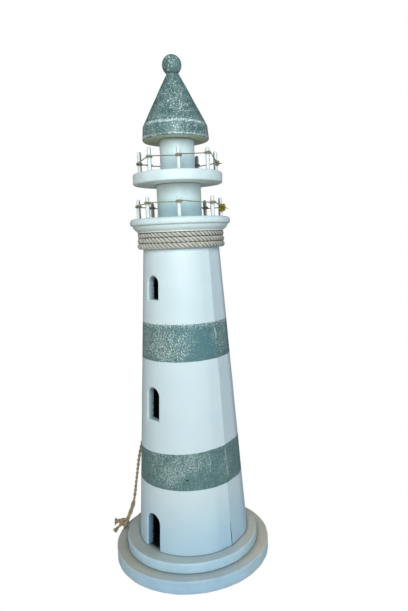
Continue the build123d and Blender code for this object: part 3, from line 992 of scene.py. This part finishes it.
def makeTowerBack():
    points, layers, borders = [], [], []
    columns = np.linspace(90, 270, 101)
    for inner in (False, True):
        layer = []
        for z in np.linspace(towerLow.z, towerHigh.z, 121):
            layer.append(list(range(len(points), len(points) + len(columns))))
            for u in columns:
                x, y, z = towerPoint(u, z, inner)
                points.append((x, y + crackGap(u, z), z))
        layers.append(layer)
        # round the sheet's four edges
        left, right = [row[0] for row in layer], [row[-1] for row in layer]
        borders.append(left + layer[-1][1:-1] + right[::-1] + layer[0][-2:0:-1])
    faces = bridge(layers[0][::-1], False)
    insideFaces = bridge(layers[1], False) + bridge(borders[::-1], True)
    piece = makePiece("towerBack", [(points, faces + insideFaces)], [backShadedPaint, shadedInsideWood],
                      ["tower_back_half"])
    spreadMaterials(piece, len(faces))


makeTowerFront(towerSettings)
makeTowerBack()
print("tower made")


ropeSettings = {
    "strandRadius": 1.45,
    "offset": 1.30,
    "oval": (0.95, 1.28),   # of the strands' offset, outwards and upwards
    "lays": 19.83,          # turns of the lay in one turn round the neck
    "joinBearing": 135.0,   # where each turn climbs to the next, behind
    "joinWidth": 40.0,
    "snug": 0.4,            # how far each turn is pulled up against the next, in mm
    "rise": 0.3,
}


def makeNeckRope(use):
    # one rope wound from the bottom up: level all round, and climbing one turn across the join
    nodes = [f"neck_rope_turn_{turn}" for turn in (1, 2, 3)]
    rings = []
    for turn in (3, 2, 1):
        low, high = boxOf(nodes[turn - 1])
        rings.append((high.x - (high.z - low.z) / 2, (low.z + high.z) / 2 + use["snug"] * turn + use["rise"]))
    line = []
    start, level = use["joinBearing"] + use["joinWidth"] / 2, 360 - use["joinWidth"]
    for (radius, z), (nextRadius, nextZ) in zip(rings, rings[1:] + rings[-1:]):
        for part in range(360):
            climb = eased(max(0.0, part - level) / use["joinWidth"])
            angle, r = radians(start + part), radius + (nextRadius - radius) * climb
            line.append((r * cos(angle), r * sin(angle), z + (nextZ - z) * climb))
    path = evenPath(line[:int(2 * 360 + level)], 0.75)
    turned = runLengths(path) / (tau * rings[1][0] / use["lays"])
    out = path * (1, 1, 0) / np.linalg.norm(path[:, :2], axis=1)[:, None]
    up = np.array((0, 0, 1.0))
    parts = []
    for strand in range(3):
        angle = tau * (strand / 3 - turned)
        wide, tall = (use["offset"] * share for share in use["oval"])
        swing = wide * np.cos(angle)[:, None] * out + tall * np.sin(angle)[:, None] * up
        parts.append(tubeParts(path + swing, use["strandRadius"], 10))
    makePiece("neckRope", parts, [ropeFibre], nodes)


makeNeckRope(ropeSettings)
print("neck rope made")


gallerySettings = {
    "neckReach": 5.9,       # past the top of the tower
    "neckHeight": 1.3,
    "neckRound": 0.4,
    "ovoloReach": 4.5,
    "ovoloRadius": 7.5,
    "rimHeight": 6.6,
    "topRound": 3.2,
    "bottomRound": 1.8,
    "waver": 0.12,
}


def makeLowerGallery(use):
    low, high = boxOf("lower_gallery")
    neck = towerSettings["topRadius"] + use["neckReach"]
    start = np.array((neck, low.z + use["neckHeight"]))
    end = np.array((neck + use["ovoloReach"], high.z - use["rimHeight"]))
    # quarter-like bulge of the ovolo
    half = np.linalg.norm(end - start) / 2
    side = np.array((start[1] - end[1], end[0] - start[0])) / (2 * half)
    middle = (start + end) / 2 + side * sqrt(use["ovoloRadius"] ** 2 - half ** 2)
    bulge = [(*point, 0) for point in arcPoints(middle, use["ovoloRadius"], start, end, 9)[1:-1]]
    corners = [(0, low.z, 0), (neck, low.z, use["neckRound"]), (*start, 0), *bulge, (*end, 0),
               (high.x, end[1], use["bottomRound"]), (high.x, high.z, use["topRound"]), (0, high.z, 0)]
    lathe = latheParts(softProfile(corners), 224, use["waver"], 20.0, seed=5)
    makePiece("lowerGallery", [lathe], [galleryPaint], ["lower_gallery"])


makeLowerGallery(gallerySettings)
deckSettings = {"topRound": 1.5, "footRound": 1.4, "waver": 0.15, "slip": 0.5}
makeDisc("upper_gallery", "upperGallery", deckSettings, galleryPaint)
lanternSettings = {"topRound": 0.3, "footRound": 0.3, "waver": 0.1, "slip": 0.0}
# each lantern's paint darkens below the twine towards its foot: painted shade
for lantern, name, below, line, strength in (("lower_lantern", "lowerLantern", 0.0, 0.50, 0.88),
                                            ("upper_lantern", "upperLantern", 0.004, 0.54, 0.70)):
    low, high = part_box(lantern)
    footShaded = makeTurnedPaint("footShaded" + name[0].upper() + name[1:], "#e8f3f4", "#ebf7f9",
                             footShadeRamp=(low.z - below, line, high.z, strength))
    makeDisc(lantern, name, lanternSettings, footShaded)
print("galleries and lanterns made")


pegSettings = {
    "socketDepth": 5.0,
    "bullet": 3.2,          # height of the rounded head
    "girth": (1.02, 0.96),      # at the foot and by the head, as shares of the CAD peg's radius
    "waver": 0.22,
    # lean outwards and sideways, and extra height, for each peg in turn
    "lower": [(0.01, 0.01, -0.7), (0.0, 0.02, -0.8), (-0.01, 0.0, 0.0), (0.01, -0.01, -1.6), (0.0, 0.01, -0.4),
              (0.01, 0.0, 0.0), (0.0, -0.01, -1.0), (-0.01, 0.01, -0.4)],
    "upper": [(0.0, 0.01, -1.0), (0.01, 0.0, 0.0), (0.0, -0.01, 0.0), (0.01, 0.0, 0.0), (0.0, -0.035, 0.7),
              (0.01, 0.01, 0.7), (0.0, 0.01, -0.4), (0.01, 0.0, -0.3)],
}


def makePeg(storey, number, use):
    node = f"{storey}_peg_{number}"
    low, high = boxOf(node)
    middle, radius = (low + high) / 2, (high.x - low.x) / 2
    outward = Vector((middle.x, middle.y)).normalized()
    leanOut, leanSide, extra = use[storey][number - 1]
    lean = outward * leanOut + Vector((-outward.y, outward.x)) * leanSide
    foot, neck = low.z + use["socketDepth"], high.z + extra - use["bullet"]
    profile = [(0, low.z), (radius, low.z), (radius, foot)]
    # a faint taper, and then the rounded head
    wide, slim = (radius * share for share in use["girth"])
    profile += [(wide + (slim - wide) * share, foot + (neck - foot) * share) for share in np.linspace(0.1, 1, 8)]
    profile += [(slim * sqrt(max(0, 1 - share ** 2.3)), neck + use["bullet"] * share)
                for share in np.linspace(0.15, 1, 9)]
    seed = number + (10 if storey == "upper" else 0)
    lathe = latheParts(profile, 28, use["waver"], 3.0, seed, (middle.x, middle.y), lean, foot)
    makePiece(f"{storey}Peg{number}", [lathe], [pegPaint], [node])


for storey in ("lower", "upper"):
    for number in range(1, 9):
        makePeg(storey, number, pegSettings)
print("pegs made")


railSettings = {
    "lower": [0.56, 0.55, 0.60, 0.63, 0.63, 0.69, 0.69, 0.64],      # share of each peg's height
    "upper": [0.45, 0.54, 0.56, 0.57, 0.48, 0.61, 0.57, 0.73],
    "wraps": 2,
    "wrapPoints": 29,
    "climb": 0.8,           # of each wrap
    "twine": 1.25,
    "plyRadius": 0.32,
    "plyOffset": 0.30,
    "lay": 3.6,
    "sag": 0.5,
    "knotPlace": (1.6, 2.0),        # outwards and sideways from the first peg's axis
    "droop": 15.0,          # degrees that the knot's end hangs below level
    "fray": (1.3, 8, 0.6),  # length, number and reach of the end's fibres
    "knots": {              # size, strand radius, length of its end, whether a dab of glue yellowed it, its rise, seed
        "lower": (7.2, 1.15, 4.6, True, -1.8, 31),
        "upper": (4.8, 0.75, 3.4, False, -0.3, 32),
    },
}


def saggingLine(start, end, sag, shares):
    drops = [np.array((0, 0, sag * 4 * share * (1 - share))) for share in shares]
    return [start + (end - start) * share - drop for share, drop in zip(shares, drops)]


def makeRail(storey, use):
    # the twine's place at each peg
    spots = []
    for number, share in enumerate(use[storey], 1):
        low, high = boxOf(f"{storey}_peg_{number}")
        foot = low.z + pegSettings["socketDepth"]
        spots.append(np.array(((low.x + high.x) / 2, (low.y + high.y) / 2, foot + share * (high.z - foot))))
    bend = (high.x - low.x) / 2 + 0.1 + use["twine"] / 2
    size, strand, endLength, isGlued, rise, seed = use["knots"][storey]
    outward = spots[0] * (1, 1, 0) / np.hypot(*spots[0][:2])
    beside = np.array((outward[1], -outward[0], 0))
    out, aside = use["knotPlace"]
    knotSpot = spots[0] + outward * out + beside * aside + np.array((0, 0, rise))
    line = [knotSpot]
    for before, here, after in zip(spots, spots[1:], spots[2:] + spots[:1]):
        # bearings of the points on the outer side where the twine meets the peg and leaves it
        arriving, leaving = (atan2(*(end - start)[1::-1]) - pi / 2 for start, end in ((before, here), (here, after)))
        total = (leaving - arriving) % tau + tau * use["wraps"]
        touch = here + np.array((cos(arriving), sin(arriving), 0)) * bend
        line += saggingLine(line[-1], touch, use["sag"], (0.25, 0.5, 0.75))
        for share in np.linspace(0, 1, use["wrapPoints"] + 1):
            angle = arriving + total * share
            climbed = (share - 0.5) * use["climb"] * use["wraps"]
            line.append(here + np.array((cos(angle) * bend, sin(angle) * bend, climbed)))
    line += saggingLine(line[-1], knotSpot, use["sag"], (0.25, 0.5, 0.75, 1.0))
    path = evenPath(smoothPath(line), 0.45)
    parts = [tubeParts(ply, use["plyRadius"], 6) for ply in plyPaths(path, use["plyOffset"], use["lay"])]
    twineFaces = sum(len(faces) for points, faces in parts)
    parts.append(tubeParts(evenPath(knotPath(knotSpot, size, outward), 0.35, True), strand, 7, closed=True))
    droop = outward * cos(radians(use["droop"])) - np.array((0, 0, sin(radians(use["droop"]))))
    tail = [knotSpot + droop * share for share in np.linspace(0.5, endLength, 8)]
    for ply in plyPaths(evenPath(tail, 0.4), use["plyOffset"], use["lay"]):
        parts.append(tubeParts(ply, use["plyRadius"] * 1.1, 6))
    parts += frayedEnd(tail[-1], droop, *use["fray"], np.random.default_rng(seed))
    piece = makePiece(f"{storey}RailTwine", parts, [railFibre, gluedFibre], [f"{storey}_twine"])
    if isGlued:
        spreadMaterials(piece, twineFaces)


makeRail("lower", railSettings)
makeRail("upper", railSettings)
print("railing twine made")


roofShape = {
    "hollowDepth": 0.9,
    "rimWidth": 4.0,
    "rimRound": 1.6,
    "shoulderRadius": 31.6,
    "shoulderHeight": 14.0,
    "shoulderRound": 4.0,
    "tipRadius": 6.3,
    "radius": 32.8,
    "wornLines": (0.6, 3.0),        # above the shoulder's corner, and above the foot
    "waver": 0.25,
    "slip": 0.75,           # at its foot, and its tip leans a little further
    "lean": 0.0055,
}
finialShape = {"radius": 9.45, "half": 10.0, "waver": 0.1, "slip": 1.5}


def makeRoof(use):
    low, high = boxOf("roof")
    shoulder = low.z + use["shoulderHeight"]
    corners = [
        (0, low.z + use["hollowDepth"], 0), (boxOf("upper_lantern")[1].x, low.z + use["hollowDepth"], 0),
        (use["radius"] - use["rimWidth"], low.z, 0), (use["radius"], low.z, use["rimRound"]),
        (use["shoulderRadius"], shoulder, use["shoulderRound"]), (use["tipRadius"], high.z, 0), (0, high.z, 0),
    ]
    lathe = latheParts(softProfile(corners, 2.0), 192, use["waver"], 16.0, seed=8, centre=slipped(use["slip"]),
                       lean=slipped(use["lean"]), footZ=low.z)
    levels = (shoulder + use["wornLines"][0], low.z + use["wornLines"][1], low.z)
    paint = makeRoofPaint("rubbedSageAcrylic", roofColours, *(level * mm for level in levels))
    makePiece("roofCone", [lathe], [paint], ["roof"])
    return paint


def makeFinial(use, paint):
    low, high = boxOf("finial")
    middle = high.z - use["half"]
    profile = [(0, low.z)]
    for part in range(25):
        z = low.z + (high.z - low.z) * (1 - cos(pi * part / 24)) / 2
        profile.append((use["radius"] * sqrt(max(0, 1 - ((z - middle) / use["half"]) ** 2)), z))
    lathe = latheParts(profile, 96, use["waver"], 6.0, seed=9, centre=slipped(use["slip"]))
    makePiece("finialBall", [lathe], [paint], ["finial"])


makeFinial(finialShape, makeRoof(roofShape))
print("roof made")


lightSettings = {
    # bearing and distance from the lighthouse, height, width, watts, linear colour; each faces the tower's middle
    "key": (-42.5, 0.7, 0.60, 0.5, 4.75, (0.89, 1.015, 1.02)),
    "left": (-117.5, 1.3, 0.25, 0.8, 1.3, (0.95, 0.86, 0.74)),
    "right": (32.5, 1.3, 0.45, 0.8, 1.6, (0.60, 0.78, 1.0)),
    "backLeft": (-172.5, 1.3, 0.50, 0.8, 1.0, (1.0, 1.0, 1.0)),
    "backRight": (87.5, 1.3, 0.50, 0.8, 1.0, (1.0, 1.0, 1.0)),
}
worldColour = (0.09, 0.10, 0.11, 1)


def makeStage(lights):
    floorMesh = bpy.data.meshes.new("floor")
    floorMesh.from_pydata([(-4, -4, 0), (4, -4, 0), (4, 4, 0), (-4, 4, 0)], [], [(0, 1, 2, 3)])
    floor = addObject("floor", floorMesh)
    # white paper sweep, lit to plain white where the camera sees it
    paper, add, shader, place = newMaterial("palePaper", 0.9)
    shader.inputs["Base Color"].default_value = hexColour("#d8dcdc")
    seen = add("LightPath", output="Is Camera Ray")
    mixed = add("MixShader", (seen, shader.outputs[0], add("Emission", ("#ffffff", 1.0))))
    paper.node_tree.links.new(mixed, paper.node_tree.nodes["Material Output"].inputs[0])
    floorMesh.materials.append(paper)
    for name, (bearing, distance, height, size, power, colour) in lights.items():
        light = bpy.data.lights.new(name, "AREA")
        light.shape, light.size, light.energy, light.color = "DISK", size, power, colour
        lamp = addObject(name, light)
        lamp.location = (distance * cos(radians(bearing)), distance * sin(radians(bearing)), height)
        lamp.rotation_euler = (Vector((0, 0, 0.25)) - lamp.location).to_track_quat("-Z", "Y").to_euler()
        lamp.visible_camera = False
    world = bpy.data.worlds.new("studio")
    world.use_nodes = True
    bpy.context.scene.world = world
    tree = world.node_tree
    seen = addNode(tree, "LightPath", output="Is Camera Ray")
    sky = addNode(tree, "Mix", (seen, worldColour, "#ffffff"), data_type="RGBA")
    tree.links.new(sky, tree.nodes["Background"].inputs[0])
    bpy.context.scene.view_settings.view_transform = "Standard"


makeStage(lightSettings)
print("stage made")
